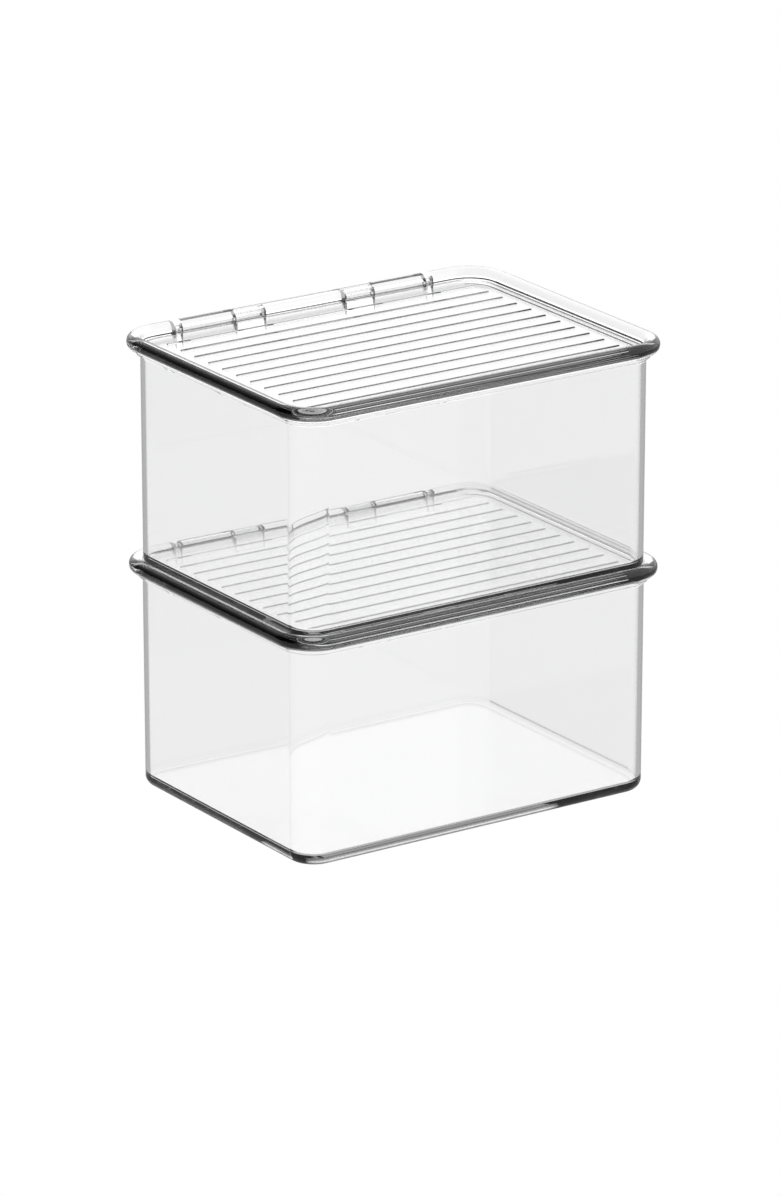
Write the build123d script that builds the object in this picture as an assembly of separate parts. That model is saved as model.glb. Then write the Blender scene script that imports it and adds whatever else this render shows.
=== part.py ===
from build123d import *
import os

# Two identical clear lidded bins, one standing on the other. Millimetres, +Z up, hinges at +Y.
#
# The origin is the middle of the lid outline, on the surface that the lower bin stands on.
# Each bin is a tub, a lid and two hinge pins. The lower lid's ribs carry the upper bin.

# Driving sizes
LID_LENGTH = 184.0
LID_DEPTH = 141.0
LID_CORNER = 18.0
STACK_PITCH = 95.5  # height of the rib tops, where the next bin stands
RIM_PLANE = 93.2  # height of the tub's rim, where the lid lies
WALL = 2.0
FLOOR = 4.0

# Lid section: a rounded bead all round, and a thin panel recessed inside it
BEAD_WIDTH = 6.2
BEAD_HEIGHT = 6.2
BEAD_OUTER_ROUND = 3.0
BEAD_INNER_ROUND = 2.6
PANEL_THICKNESS = 1.7
PANEL_FOOT_ROUND = 1.0

# Ribs on the lid panel
RIB_COUNT = 11
RIB_SPACING = 10.4
RIB_LENGTH = 152.0
RIB_WIDTH = 0.9
RIB_HEIGHT = STACK_PITCH - RIM_PLANE - PANEL_THICKNESS
RIB_ROUND = 0.4

# Tub section: the walls lean out by DRAFT on each side between the base and the rim
TUB_INSET = 5.6  # from the lid's outer edge to the tub's wall at the rim
TUB_CORNER = LID_CORNER - TUB_INSET
DRAFT = 0.3
BASE_ROUND = 4.0
FLOOR_ROUND = 2.0

# Rolled lip under the tub's rim
LIP_REACH = 1.9
LIP_HEIGHT = 2.2
LIP_FLARE = 1.5
LIP_NOSE = 1.05

# Hinge, at the back
PIN_RADIUS = 1.5
PIN_RUNNING_GAP = 0.05
PIN_INSET = 1.0  # how far a pin's inner end stops inside its bracket
PIN_Y = 67.7
PIN_Z = 95.0
KNUCKLE_RADIUS = 2.7
BRACKET_SPAN = (20.0, 34.0)  # distance from the middle, along X
LUG_SPAN = (60.6, 63.4)
SIDE_GAP = 0.4
SWING_GAP = 0.3
GUSSET_DEPTH = 6.6  # how far the brackets run down the wall
GUSSET_FOOT = 0.6  # how far they stand out from the wall at their lower end
CENTRE_STEP = 0.5  # how much lower the bead is between the brackets

# Small overlaps that let neighbouring shapes join or cut cleanly
WALL_BITE = 0.4
JOIN = 0.1
CLEAR = 1.0
EDGE_SEARCH = 0.01

TUB_RIM_X = LID_LENGTH / 2 - TUB_INSET
TUB_RIM_Y = LID_DEPTH / 2 - TUB_INSET
PANEL_TOP = RIM_PLANE + PANEL_THICKNESS
BEAD_TOP = RIM_PLANE + BEAD_HEIGHT


def rounded_plate(half_x, half_y, corner, z):
    """A rounded rectangle lying flat at height z."""
    return Plane.XY.offset(z) * RectangleRounded(2 * half_x, 2 * half_y, corner)


def tub_plate(outset, z):
    """The tub's outline at the rim, moved outward by outset on every side, at height z."""
    return rounded_plate(TUB_RIM_X + outset, TUB_RIM_Y + outset, TUB_CORNER + outset, z)


def edges_at(solid, z):
    """The edges of a solid that lie flat at height z."""
    return solid.edges().filter_by_position(Axis.Z, z - EDGE_SEARCH, z + EDGE_SEARCH)


def slab(x, y, z):
    """A box from three (low, high) pairs."""
    size = [high - low for low, high in (x, y, z)]
    middle = [(high + low) / 2 for low, high in (x, y, z)]
    return Pos(*middle) * Box(*size)


def rod(radius, x):
    """A round bar on the hinge axis between two places along X."""
    low, high = x
    return Pos((low + high) / 2, PIN_Y, PIN_Z) * Rot(0, 90, 0) * Cylinder(radius, high - low)


def mirrored(span, side):
    """A stretch along X on the left (-1) or right (+1) side."""
    near, far = span
    return (near, far) if side > 0 else (-far, -near)


def widened(span, gap):
    """A stretch along X with a gap added at each end."""
    low, high = span
    return (low - gap, high + gap)


def tub_outside():
    """The outside of the floor and the four leaning walls, as one solid block."""
    block = loft([tub_plate(-DRAFT, 0), tub_plate(0, RIM_PLANE)])
    return fillet(edges_at(block, 0), BASE_ROUND)


def tub_inside():
    """The space inside the tub, open at the rim."""
    lean = DRAFT * (1 - FLOOR / RIM_PLANE)
    space = loft([tub_plate(-WALL - lean, FLOOR), tub_plate(-WALL, RIM_PLANE)])
    return fillet(edges_at(space, FLOOR), FLOOR_ROUND)


def lip_ring():
    """The rolled lip around the front and sides, cut off flush with the back wall."""
    bottom = RIM_PLANE - LIP_HEIGHT
    flat = extrude(tub_plate(LIP_REACH, bottom), LIP_HEIGHT)
    flat = fillet(edges_at(flat, bottom) + edges_at(flat, RIM_PLANE), LIP_NOSE)
    flare = loft([tub_plate(-JOIN, bottom - LIP_FLARE), tub_plate(LIP_FLARE / 2, bottom + JOIN)])
    behind = slab(
        (-LID_LENGTH, LID_LENGTH),
        (TUB_RIM_Y, LID_DEPTH),
        (bottom - 2 * LIP_FLARE, RIM_PLANE + CLEAR),
    )
    return flat + flare - behind


def bracket(x):
    """A rounded ear on the back wall that holds a hinge pin, with a gusset under it."""
    low, high = x
    wall_y = TUB_RIM_Y - WALL_BITE
    gusset_bottom = RIM_PLANE - GUSSET_DEPTH
    outline = Polyline(
        (low, wall_y, RIM_PLANE),
        (low, wall_y, gusset_bottom),
        (low, TUB_RIM_Y + GUSSET_FOOT, gusset_bottom),
        (low, PIN_Y + KNUCKLE_RADIUS / 4, PIN_Z - KNUCKLE_RADIUS + JOIN),
        (low, PIN_Y, PIN_Z),
        (low, PIN_Y - KNUCKLE_RADIUS + JOIN, PIN_Z - KNUCKLE_RADIUS / 4),
        (low, TUB_RIM_Y, RIM_PLANE),
        (low, wall_y, RIM_PLANE),
    )
    gusset = extrude(make_face(outline), high - low, dir=(1, 0, 0))
    return rod(KNUCKLE_RADIUS, x) + gusset


def tub():
    """One tub, standing on z = 0."""
    body = tub_outside() + lip_ring()
    for side in (-1, 1):
        for span in (BRACKET_SPAN, LUG_SPAN):
            body += bracket(mirrored(span, side))
    body -= tub_inside()
    for side in (-1, 1):
        bore = (BRACKET_SPAN[0] + PIN_INSET, LUG_SPAN[1] + CLEAR)
        body -= rod(PIN_RADIUS, mirrored(bore, side))
    return body


def lid_plate():
    """The rounded rim with its recessed panel."""
    half_x, half_y = LID_LENGTH / 2, LID_DEPTH / 2
    plate = extrude(rounded_plate(half_x, half_y, LID_CORNER, RIM_PLANE), BEAD_HEIGHT)
    plate = fillet(edges_at(plate, RIM_PLANE) + edges_at(plate, BEAD_TOP), BEAD_OUTER_ROUND)
    inner_x, inner_y = half_x - BEAD_WIDTH, half_y - BEAD_WIDTH
    recess = rounded_plate(inner_x, inner_y, LID_CORNER - BEAD_WIDTH, PANEL_TOP)
    pocket = extrude(recess, BEAD_HEIGHT)
    pocket = fillet(edges_at(pocket, PANEL_TOP), PANEL_FOOT_ROUND)
    plate -= pocket
    inner_top = edges_at(plate, BEAD_TOP).filter_by(
        lambda edge: abs(edge.center().X) < inner_x + EDGE_SEARCH
        and abs(edge.center().Y) < inner_y + EDGE_SEARCH
    )
    return fillet(inner_top, BEAD_INNER_ROUND)


def rib(y):
    """One long low rib with rounded ends, along X."""
    foot = Plane.XY.offset(PANEL_TOP - JOIN) * SlotOverall(RIB_LENGTH, RIB_WIDTH)
    bar = extrude(foot, RIB_HEIGHT + JOIN)
    return Pos(0, y, 0) * fillet(edges_at(bar, STACK_PITCH), RIB_ROUND)


def lid():
    """One lid, lying shut on the rim of a tub that stands on z = 0."""
    body = lid_plate()
    for row in range(RIB_COUNT):
        body += rib((row - (RIB_COUNT - 1) / 2) * RIB_SPACING)
    behind_wall = (TUB_RIM_Y - SWING_GAP, LID_DEPTH)
    centre = widened(mirrored(BRACKET_SPAN, 1), SIDE_GAP)[1]
    body -= slab(
        (-centre, centre), (TUB_RIM_Y - CLEAR, LID_DEPTH), (BEAD_TOP - CENTRE_STEP, BEAD_TOP + CLEAR)
    )
    knuckle_span = (BRACKET_SPAN[1] + SIDE_GAP, LUG_SPAN[0] - SIDE_GAP)
    for side in (-1, 1):
        knuckle = mirrored(knuckle_span, side)
        body += rod(KNUCKLE_RADIUS, knuckle)
        for span in (BRACKET_SPAN, LUG_SPAN):
            room = mirrored(widened(span, SIDE_GAP), side)
            body -= rod(KNUCKLE_RADIUS + SWING_GAP, room)
            body -= slab(room, behind_wall, (RIM_PLANE - CLEAR, PIN_Z))
        body -= rod(PIN_RADIUS + PIN_RUNNING_GAP, widened(knuckle, SIDE_GAP))
    return body


def hinge_pin(side):
    """One pin, held by the tub's bracket and lug, on which the lid's knuckle turns."""
    return rod(PIN_RADIUS, mirrored((BRACKET_SPAN[0] + PIN_INSET, LUG_SPAN[1]), side))


def main():
    pieces = {
        "tub": tub(),
        "lid": lid(),
        "hinge_pin_left": hinge_pin(-1),
        "hinge_pin_right": hinge_pin(1),
    }
    os.makedirs("parts", exist_ok=True)
    for level, height in (("lower", 0), ("upper", STACK_PITCH)):
        for piece, solid in pieces.items():
            export_step(Pos(0, 0, height) * solid, f"parts/{level}_{piece}.step")


main()
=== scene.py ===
import bmesh
import bpy
import math
from mathutils import Matrix, Vector


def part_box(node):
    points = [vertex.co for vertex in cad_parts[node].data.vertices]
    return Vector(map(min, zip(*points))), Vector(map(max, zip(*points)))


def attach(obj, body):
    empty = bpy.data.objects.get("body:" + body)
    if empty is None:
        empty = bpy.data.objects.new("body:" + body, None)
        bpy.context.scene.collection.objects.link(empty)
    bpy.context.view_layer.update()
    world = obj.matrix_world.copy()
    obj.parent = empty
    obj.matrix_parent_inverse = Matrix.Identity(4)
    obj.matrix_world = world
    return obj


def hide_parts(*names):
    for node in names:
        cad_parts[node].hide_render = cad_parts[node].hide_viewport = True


# Two clear lidded bins, one standing on the other. Lengths are in millimetres, in the CAD's frame,
# unless they say otherwise. Every CAD piece is replaced by a mesh of the same shape and size whose
# surfaces are smooth enough for clear plastic, and which keeps a little air between the pieces.

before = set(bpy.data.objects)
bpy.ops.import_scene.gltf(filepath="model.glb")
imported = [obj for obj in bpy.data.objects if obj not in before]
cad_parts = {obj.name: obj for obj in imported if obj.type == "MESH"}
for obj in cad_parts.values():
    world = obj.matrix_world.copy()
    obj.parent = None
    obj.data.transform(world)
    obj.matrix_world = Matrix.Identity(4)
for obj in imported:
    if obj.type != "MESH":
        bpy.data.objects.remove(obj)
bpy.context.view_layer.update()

MM = 0.001

# Camera: where it looks from, in degrees, its distance in metres, and how far its aim lies
# from the origin, in metres along its own right and up directions
CAMERA_AZIMUTH = -33.94
CAMERA_ELEVATION = 18.79
CAMERA_DISTANCE = 3.115
CAMERA_AIM_RIGHT = -0.00125
CAMERA_AIM_UP = 0.07736
LENS = 225.75
SENSOR_WIDTH = 36.0
CLIP_RANGE = (0.05, 30.0)

# Studio: a white floor, and a wide soft light behind the bins, on the camera's right, that fades
# to dark around the camera. The floor's width and level are in metres.
FLOOR_WIDTH = 16.0
FLOOR_LEVEL = -0.0002
BRIGHT_AZIMUTH = 104.0
BRIGHT_SKY = 1.6
DARK_SKY = 0.03
SKY_FADE = (-0.5, 0.6)  # cosines of the angle from the light's middle, at dark and at bright
FLOOR_KEPT = 0.5  # share of the floor's light kept by each reflection on the way to it
SKY_KEPT = 0.8

# The bin, read from the frame where the frame tells it
LID_HALF_X, LID_HALF_Y, LID_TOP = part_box("lower_lid")[1] / MM
STACK_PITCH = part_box("upper_tub")[0].z / MM
BEAD_HEIGHT = 6.2
RIM_PLANE = LID_TOP - BEAD_HEIGHT
LID_CORNER = 18.0
WALL = 2.0
FLOOR = 4.0
TUB_INSET = 5.6
DRAFT = 0.3
BASE_ROUND = 4.0
FLOOR_ROUND = 2.0
LIP_REACH = 1.9
LIP_HEIGHT = 2.2
LIP_FLARE = 1.5
LIP_NOSE = 1.05
LIP_CREASE = 0.03  # radius of the crease where the lip's flare meets its nose
BEAD_WIDTH = 6.2
BEAD_OUTER_ROUND = 3.0
BEAD_INNER_ROUND = 2.6
PANEL_THICKNESS = 1.7
PANEL_TOP = RIM_PLANE + PANEL_THICKNESS
PANEL_FOOT_ROUND = 1.0
RIB_COUNT = 11
RIB_SPACING = 10.4
RIB_LENGTH = 152.0
RIB_WIDTH = 0.9
RIB_ROUND = 0.4
PIN_RADIUS = 1.5
PIN_INSET = 1.0
PIN_RUNNING_GAP = 0.05
PIN_Y = 67.7
PIN_Z = 95.0
KNUCKLE_RADIUS = 2.7
BRACKET_SPAN = (20.0, 34.0)
LUG_SPAN = (60.6, 63.4)
SIDE_GAP = 0.4
SWING_GAP = 0.3
GUSSET_DEPTH = 6.6
GUSSET_FOOT = 0.6
CENTRE_STEP = 0.5
WALL_BITE = 0.4
JOIN = 0.1
CLEAR = 1.0
TUB_RIM_Y = LID_HALF_Y - TUB_INSET

# Air between pieces that rest on or hold each other, so that light meets two surfaces there
REST_GAP = 0.06
PIN_GAP = 0.03

# Plastics: clean and dull tint, refraction, lowest and highest roughness, and the flow ripples'
# waves to the metre and depth. The tubs, the lids and the pins differ a little.
TUB_PLASTIC = {
    "clean": (0.99, 0.99, 0.99, 1),
    "dull": (0.980, 0.981, 0.982, 1),
    "ior": 1.56,
    "roughness": (0.0, 0.012),
    "ripple_scale": 26.0,
    "ripple_depth": 0.012,
}
LID_PLASTIC = {
    "clean": (0.995, 0.995, 0.995, 1),
    "dull": (0.985, 0.986, 0.987, 1),
    "ior": 1.56,
    "roughness": (0.0, 0.016),
    "ripple_scale": 34.0,
    "ripple_depth": 0.010,
}
PIN_PLASTIC = {
    "clean": (0.94, 0.94, 0.94, 1),
    "dull": (0.91, 0.91, 0.912, 1),
    "ior": 1.52,
    "roughness": (0.02, 0.06),
    "ripple_scale": 90.0,
    "ripple_depth": 0.004,
}
FLOW_DETAIL = 1.0
POLISH_SCALE = 60.0
POLISH_DETAIL = 3.0

# How many times light may bounce
MAX_BOUNCES = 64
GLOSSY_BOUNCES = 32

# How finely curves are divided
CORNER_STEPS = 18
ROUND_STEP = math.radians(9)
ROD_STEPS = 40
RIB_END_STEPS = 8
SHARP_ANGLE = math.radians(28)


def make_camera():
    azimuth = math.radians(CAMERA_AZIMUTH)
    elevation = math.radians(CAMERA_ELEVATION)
    level = Vector((math.sin(azimuth), -math.cos(azimuth), 0))
    back = level * math.cos(elevation) + Vector((0, 0, math.sin(elevation)))
    right = Vector((math.cos(azimuth), math.sin(azimuth), 0))
    up = back.cross(right)
    data = bpy.data.cameras.new("camera")
    data.lens = LENS
    data.sensor_width = SENSOR_WIDTH
    data.clip_start, data.clip_end = CLIP_RANGE
    camera = bpy.data.objects.new("camera", data)
    camera.location = right * CAMERA_AIM_RIGHT + up * CAMERA_AIM_UP + back * CAMERA_DISTANCE
    camera.rotation_mode = "QUATERNION"
    camera.rotation_quaternion = (-back).to_track_quat("-Z", "Y")
    bpy.context.scene.collection.objects.link(camera)
    bpy.context.scene.camera = camera


# Outlines and solids


def ring(inset, z):
    """Points of a rounded rectangle, that far inside the lid's outline, at height z."""
    half_x, half_y, radius = LID_HALF_X - inset, LID_HALF_Y - inset, LID_CORNER - inset
    points = []
    for quarter, (sign_x, sign_y) in enumerate(((1, 1), (-1, 1), (-1, -1), (1, -1))):
        for step in range(CORNER_STEPS + 1):
            angle = math.radians(90) * (quarter + step / CORNER_STEPS)
            x = sign_x * (half_x - radius) + radius * math.cos(angle)
            y = sign_y * (half_y - radius) + radius * math.sin(angle)
            points.append((x, y, z))
    return points


def slot(half_length, radius, y, z):
    """Points of a long slot along X with round ends, at height z."""
    points = []
    for centre, start in ((half_length - radius, -90), (radius - half_length, 90)):
        for step in range(RIB_END_STEPS + 1):
            angle = math.radians(start + 180 * step / RIB_END_STEPS)
            points.append((centre + radius * math.cos(angle), y + radius * math.sin(angle), z))
    return points


def arc(centre, radius, start, end):
    """Points of an arc in a flat plane, from one angle to the other, in degrees."""
    steps = max(2, round(abs(math.radians(end - start)) / ROUND_STEP))
    points = []
    for step in range(steps + 1):
        angle = math.radians(start + (end - start) * step / steps)
        points.append((centre[0] + radius * math.cos(angle), centre[1] + radius * math.sin(angle)))
    return points


def tower(name, rings):
    """A closed solid skinned over rings of equally many points, with a flat face on each end."""
    count = len(rings[0])
    faces = [range(count), range((len(rings) - 1) * count, len(rings) * count)]
    for row in range(len(rings) - 1):
        low, high = row * count, (row + 1) * count
        for step in range(count):
            after = (step + 1) % count
            faces.append((low + step, low + after, high + after, high + step))
    mesh = bpy.data.meshes.new(name)
    mesh.from_pydata([Vector(point) * MM for points in rings for point in points], [], faces)
    work = bmesh.new()
    work.from_mesh(mesh)
    bmesh.ops.recalc_face_normals(work, faces=work.faces)
    work.to_mesh(mesh)
    work.free()
    made = bpy.data.objects.new(name, mesh)
    bpy.context.scene.collection.objects.link(made)
    return made


def swept(name, profile):
    """A closed solid around the middle, from a profile of (inset, z) points."""
    return tower(name, [ring(inset, z) for inset, z in profile])


def prism(name, outline, x_span):
    """A closed bar along X from an outline of (y, z) points."""
    return tower(name, [[(x, y, z) for y, z in outline] for x in x_span])


def rod(name, radius, x_span):
    """A round bar on the hinge axis."""
    turns = [math.radians(360) * step / ROD_STEPS for step in range(ROD_STEPS)]
    outline = [(PIN_Y + radius * math.cos(turn), PIN_Z + radius * math.sin(turn)) for turn in turns]
    return prism(name, outline, x_span)


def block(name, x_span, y_span, z_span):
    """A box between three (low, high) pairs."""
    (y0, y1), (z0, z1) = y_span, z_span
    return prism(name, [(y0, z0), (y1, z0), (y1, z1), (y0, z1)], x_span)


def combined(base, others, operation):
    """The base mesh joined with, or cut by, each of the others in turn, which are used up."""
    for other in others:
        modifier = base.modifiers.new("combine", "BOOLEAN")
        modifier.operation = operation
        modifier.solver = "MANIFOLD"
        modifier.object = other
    bpy.context.view_layer.update()
    evaluated = base.evaluated_get(bpy.context.evaluated_depsgraph_get())
    result = bpy.data.meshes.new_from_object(evaluated)
    base.modifiers.clear()
    base.data = result
    for other in others:
        bpy.data.objects.remove(other)
    return base


def both_sides(span):
    """A stretch along X on the left and its mirror on the right."""
    near, far = span
    return [(-far, -near), (near, far)]


def widened(span, gap):
    """A stretch along X with a gap added at each end."""
    low, high = span
    return (low - gap, high + gap)


# Pieces


def tub_profile():
    """From the middle of the underside, round the outside, over the rim, down to the inner floor."""

    def wall_inset(z):
        return TUB_INSET + DRAFT * (1 - z / RIM_PLANE)

    base = wall_inset(0) + BASE_ROUND
    nose = TUB_INSET - LIP_REACH + LIP_NOSE
    lip_bottom = RIM_PLANE - LIP_HEIGHT
    flare_end = TUB_INSET - LIP_FLARE / 2
    inner_floor = wall_inset(FLOOR) + WALL + FLOOR_ROUND
    profile = arc((base, BASE_ROUND), BASE_ROUND, 270, 180)
    profile += [(wall_inset(lip_bottom - LIP_FLARE), lip_bottom - LIP_FLARE)]
    profile += arc((flare_end, lip_bottom - LIP_CREASE), LIP_CREASE, 270, 225)
    profile += arc((nose, lip_bottom + LIP_NOSE), LIP_NOSE, 265, 180)
    profile += arc((nose, RIM_PLANE - LIP_NOSE), LIP_NOSE, 180, 90)
    profile += [(TUB_INSET + WALL, RIM_PLANE)]
    profile += arc((inner_floor, FLOOR + FLOOR_ROUND), FLOOR_ROUND, 180, 270)
    return profile


def bracket(x_span):
    """A rounded ear on the back wall that holds a pin, with a gusset under it."""
    wall_y = TUB_RIM_Y - WALL_BITE
    gusset_bottom = RIM_PLANE - GUSSET_DEPTH
    outline = [
        (wall_y, RIM_PLANE),
        (wall_y, gusset_bottom),
        (TUB_RIM_Y + GUSSET_FOOT, gusset_bottom),
        (PIN_Y + KNUCKLE_RADIUS / 4, PIN_Z - KNUCKLE_RADIUS + JOIN),
        (PIN_Y, PIN_Z),
        (PIN_Y - KNUCKLE_RADIUS + JOIN, PIN_Z - KNUCKLE_RADIUS / 4),
        (TUB_RIM_Y, RIM_PLANE),
    ]
    return combined(rod("ear", KNUCKLE_RADIUS, x_span), [prism("gusset", outline, x_span)], "UNION")


def build_tub(name):
    body = swept(name, tub_profile())
    across = (-LID_HALF_X, LID_HALF_X)
    lip_zone = (RIM_PLANE - LIP_HEIGHT - 2 * LIP_FLARE, RIM_PLANE + CLEAR)
    body = combined(body, [block("behind", across, (TUB_RIM_Y, LID_HALF_Y), lip_zone)], "DIFFERENCE")
    spans = both_sides(BRACKET_SPAN) + both_sides(LUG_SPAN)
    body = combined(body, [bracket(span) for span in spans], "UNION")
    bores = both_sides((BRACKET_SPAN[0] + PIN_INSET, LUG_SPAN[1] + CLEAR))
    return combined(body, [rod("bore", PIN_RADIUS, span) for span in bores], "DIFFERENCE")


def lid_profile():
    """From the middle of the underside, round the bead and down to the recessed panel."""
    low = RIM_PLANE + REST_GAP
    outer, inner = BEAD_OUTER_ROUND, BEAD_INNER_ROUND
    foot = PANEL_FOOT_ROUND
    profile = arc((outer, low + outer), outer, 270, 180)
    profile += arc((outer, LID_TOP - outer), outer, 180, 90)
    profile += arc((BEAD_WIDTH - inner, LID_TOP - inner), inner, 90, 0)
    profile += arc((BEAD_WIDTH + foot, PANEL_TOP + foot), foot, 180, 270)
    return profile


def rib(y):
    """One long low rib with rounded ends and a rounded top."""
    foot = PANEL_TOP - 2 * RIB_ROUND
    top = STACK_PITCH - REST_GAP
    rows = [(0, foot)] + [(RIB_ROUND - r, z) for r, z in arc((0, top - RIB_ROUND), RIB_ROUND, 0, 90)]
    return tower("rib", [slot(RIB_LENGTH / 2 - inset, RIB_WIDTH / 2 - inset, y, z) for inset, z in rows])


def build_lid(name):
    body = swept(name, lid_profile())
    rows = [(row - (RIB_COUNT - 1) / 2) * RIB_SPACING for row in range(RIB_COUNT)]
    body = combined(body, [rib(y) for y in rows], "UNION")
    knuckles = both_sides((BRACKET_SPAN[1] + SIDE_GAP, LUG_SPAN[0] - SIDE_GAP))
    centre = BRACKET_SPAN[1] + SIDE_GAP
    step_y = (TUB_RIM_Y - CLEAR, LID_HALF_Y + CLEAR)
    step = block("step", (-centre, centre), step_y, (LID_TOP - CENTRE_STEP, LID_TOP + CLEAR))
    body = combined(body, [step], "DIFFERENCE")
    body = combined(body, [rod("knuckle", KNUCKLE_RADIUS, span) for span in knuckles], "UNION")
    cutters = []
    for span in (BRACKET_SPAN, LUG_SPAN):
        for room in both_sides(widened(span, SIDE_GAP)):
            slot_y = (TUB_RIM_Y - SWING_GAP, LID_HALF_Y + CLEAR)
            cutters.append(rod("swing_room", KNUCKLE_RADIUS + SWING_GAP, room))
            cutters.append(block("swing_slot", room, slot_y, (RIM_PLANE - CLEAR, PIN_Z)))
    for span in knuckles:
        cutters.append(rod("bore", PIN_RADIUS + PIN_RUNNING_GAP, widened(span, SIDE_GAP)))
    return combined(body, cutters, "DIFFERENCE")


def build_pin(name, x_span):
    return rod(name, PIN_RADIUS - PIN_GAP, x_span)


def finished(made, height, body, node, material):
    """Lifts a piece to its level, shades it smooth with true flats, and ties it to the frame."""
    mesh = made.data
    mesh.transform(Matrix.Translation((0, 0, height * MM)))
    mesh.materials.clear()
    mesh.materials.append(material)
    mesh.shade_smooth()
    mesh.set_sharp_from_angle(angle=SHARP_ANGLE)
    modifier = made.modifiers.new("flat_normals", "WEIGHTED_NORMAL")
    modifier.mode = "FACE_AREA"
    modifier.weight = 100
    modifier.keep_sharp = True
    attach(made, body)
    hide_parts(node)


# Looks


def noise(nodes, where, scale, detail):
    """A soft noise in the object's own coordinates; scale is in waves to the metre."""
    made = nodes.new("ShaderNodeTexNoise")
    made.inputs["Scale"].default_value = scale
    made.inputs["Detail"].default_value = detail
    nodes.id_data.links.new(where.outputs["Object"], made.inputs["Vector"])
    return made


def spread(nodes, source, low, high):
    """The noise stretched to run from low to high, values or colours."""
    made = nodes.new("ShaderNodeMix")
    kind = "RGBA" if isinstance(low, tuple) else "FLOAT"
    made.data_type = kind
    sockets = {socket.identifier: socket for socket in made.inputs}
    suffix = "Color" if kind == "RGBA" else "Float"
    sockets["A_" + suffix].default_value = low
    sockets["B_" + suffix].default_value = high
    nodes.id_data.links.new(source.outputs["Fac"], sockets["Factor_Float"])
    return next(socket for socket in made.outputs if socket.identifier == "Result_" + suffix)


def clear_plastic(name, clean, dull, ior, roughness, ripple_scale, ripple_depth):
    """Clear moulded plastic: a faint uneven tint and polish, and slow flow ripples in the surface."""
    material = bpy.data.materials.new(name)
    material.use_nodes = True
    nodes = material.node_tree.nodes
    links = material.node_tree.links
    shader = nodes["Principled BSDF"]
    where = nodes.new("ShaderNodeTexCoord")
    flow = noise(nodes, where, ripple_scale, FLOW_DETAIL)
    polish = noise(nodes, where, POLISH_SCALE, POLISH_DETAIL)
    bump = nodes.new("ShaderNodeBump")
    bump.inputs["Strength"].default_value = 1.0
    bump.inputs["Distance"].default_value = ripple_depth * MM
    links.new(flow.outputs["Fac"], bump.inputs["Height"])
    links.new(bump.outputs["Normal"], shader.inputs["Normal"])
    links.new(spread(nodes, polish, *roughness), shader.inputs["Roughness"])
    links.new(spread(nodes, flow, clean, dull), shader.inputs["Base Color"])
    shader.inputs["Transmission Weight"].default_value = 1.0
    shader.inputs["IOR"].default_value = ior
    return material


def power(nodes, base, exponent):
    """A number raised to a socket's value."""
    made = nodes.new("ShaderNodeMath")
    made.operation = "POWER"
    made.inputs[0].default_value = base
    nodes.id_data.links.new(exponent, made.inputs[1])
    return made.outputs[0]


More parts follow.
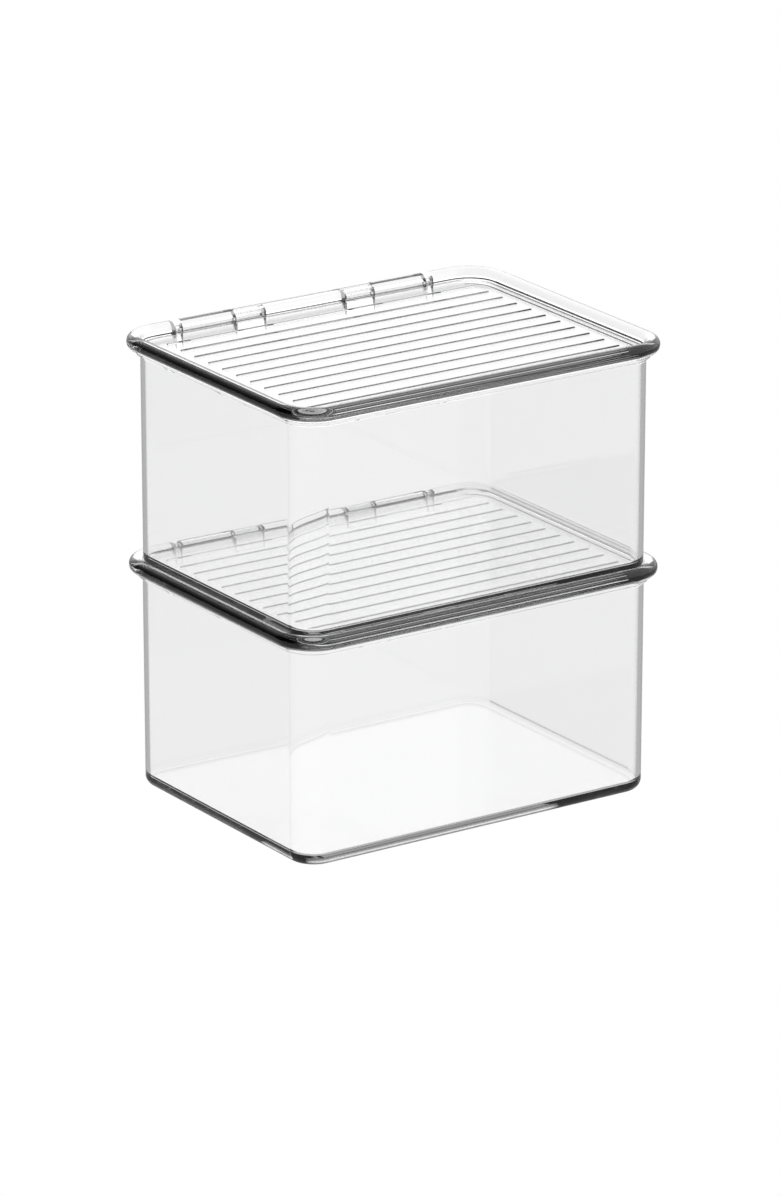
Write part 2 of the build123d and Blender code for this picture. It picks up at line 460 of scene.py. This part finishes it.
def make_world():
    """Bright behind the bins and dark around the camera, weaker after each reflection, and at
    least white where the camera sees it directly."""
    world = bpy.data.worlds.new("studio")
    bpy.context.scene.world = world
    world.use_nodes = True
    nodes = world.node_tree.nodes
    links = world.node_tree.links
    background = nodes["Background"]
    azimuth = math.radians(BRIGHT_AZIMUTH)
    where = nodes.new("ShaderNodeTexCoord")
    facing = nodes.new("ShaderNodeVectorMath")
    facing.operation = "DOT_PRODUCT"
    facing.inputs[1].default_value = (math.sin(azimuth), -math.cos(azimuth), 0)
    links.new(where.outputs["Generated"], facing.inputs[0])
    fade = nodes.new("ShaderNodeMapRange")
    fade.interpolation_type = "SMOOTHSTEP"
    fade.inputs["From Min"].default_value, fade.inputs["From Max"].default_value = SKY_FADE
    fade.inputs["To Min"].default_value = DARK_SKY
    fade.inputs["To Max"].default_value = BRIGHT_SKY
    links.new(facing.outputs["Value"], fade.inputs["Value"])
    path = nodes.new("ShaderNodeLightPath")
    dimmed = nodes.new("ShaderNodeMath")
    dimmed.operation = "MULTIPLY"
    links.new(fade.outputs["Result"], dimmed.inputs[0])
    links.new(power(nodes, SKY_KEPT, path.outputs["Glossy Depth"]), dimmed.inputs[1])
    strength = nodes.new("ShaderNodeMath")
    strength.operation = "MAXIMUM"
    links.new(dimmed.outputs[0], strength.inputs[0])
    links.new(path.outputs["Is Camera Ray"], strength.inputs[1])
    links.new(strength.outputs[0], background.inputs["Strength"])
    background.inputs["Color"].default_value = (1, 1, 1, 1)


def make_floor():
    """A white floor that gives off light. Each reflection on the way to it keeps only part of its
    strength, so edges turn grey. This is a choice for the looks and not how real light behaves."""
    bpy.ops.mesh.primitive_grid_add(size=FLOOR_WIDTH, location=(0, 0, FLOOR_LEVEL))
    floor = bpy.context.object
    floor.name = "floor"
    material = bpy.data.materials.new("floor_paper")
    material.use_nodes = True
    nodes = material.node_tree.nodes
    path = nodes.new("ShaderNodeLightPath")
    shader = nodes["Principled BSDF"]
    shader.inputs["Base Color"].default_value = (0, 0, 0, 1)
    shader.inputs["Specular IOR Level"].default_value = 0.0
    shader.inputs["Emission Color"].default_value = (1, 1, 1, 1)
    strength = power(nodes, FLOOR_KEPT, path.outputs["Glossy Depth"])
    material.node_tree.links.new(strength, shader.inputs["Emission Strength"])
    floor.data.materials.append(material)


def make_bins():
    tub_plastic = clear_plastic("tub_clear", **TUB_PLASTIC)
    lid_plastic = clear_plastic("lid_clear", **LID_PLASTIC)
    pin_plastic = clear_plastic("pin_clear", **PIN_PLASTIC)
    for level, height in (("lower", 0.0), ("upper", STACK_PITCH)):
        tub, lid = level + "_tub", level + "_lid"
        finished(build_tub(tub + "_clear"), height, tub, tub, tub_plastic)
        finished(build_lid(lid + "_clear"), height, lid, lid, lid_plastic)
        pin_spans = both_sides((BRACKET_SPAN[0] + PIN_INSET, LUG_SPAN[1]))
        for side, span in zip(("left", "right"), pin_spans):
            pin = build_pin(f"{level}_pin_{side}_clear", span)
            finished(pin, height, tub, f"{level}_hinge_pin_{side}", pin_plastic)


make_camera()
make_world()
make_floor()
make_bins()

scene = bpy.context.scene
scene.view_settings.view_transform = "Standard"
scene.cycles.max_bounces = MAX_BOUNCES
scene.cycles.transmission_bounces = MAX_BOUNCES
scene.cycles.glossy_bounces = GLOSSY_BOUNCES
scene.cycles.transparent_max_bounces = MAX_BOUNCES
